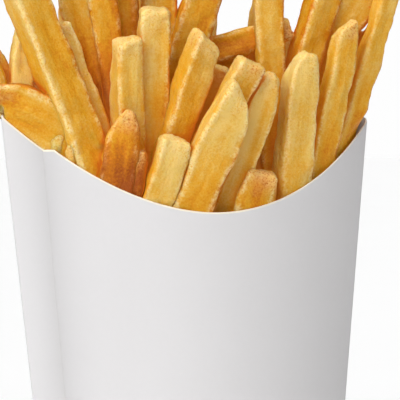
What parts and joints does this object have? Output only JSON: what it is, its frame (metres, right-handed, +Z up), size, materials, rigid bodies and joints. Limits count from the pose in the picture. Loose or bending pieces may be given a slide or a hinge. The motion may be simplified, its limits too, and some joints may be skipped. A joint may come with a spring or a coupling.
{
  "type": "french fries in a paperboard scoop",
  "caption": "Portion of thick-cut french fries standing fanned out in a plain white paperboard scoop with a dipped front edge and a raised back.",
  "frame": {"origin": "centre of the flat base, on the surface that the scoop stands on", "axes": "+Z up, -Y out of the dipped front panel, +X to the right when facing the front"},
  "size_m": [0.1286, 0.0642, 0.1577],
  "materials": {
    "white_board": "uncoated white paperboard, smooth and matt",
    "golden_fry": "fried potato crust, golden, slightly oily"
  },
  "bodies": {
    "root": {"carton_wall": "white_board", "carton_base": "white_board", "fries_bundle": "golden_fry"}
  },
  "joints": []
}
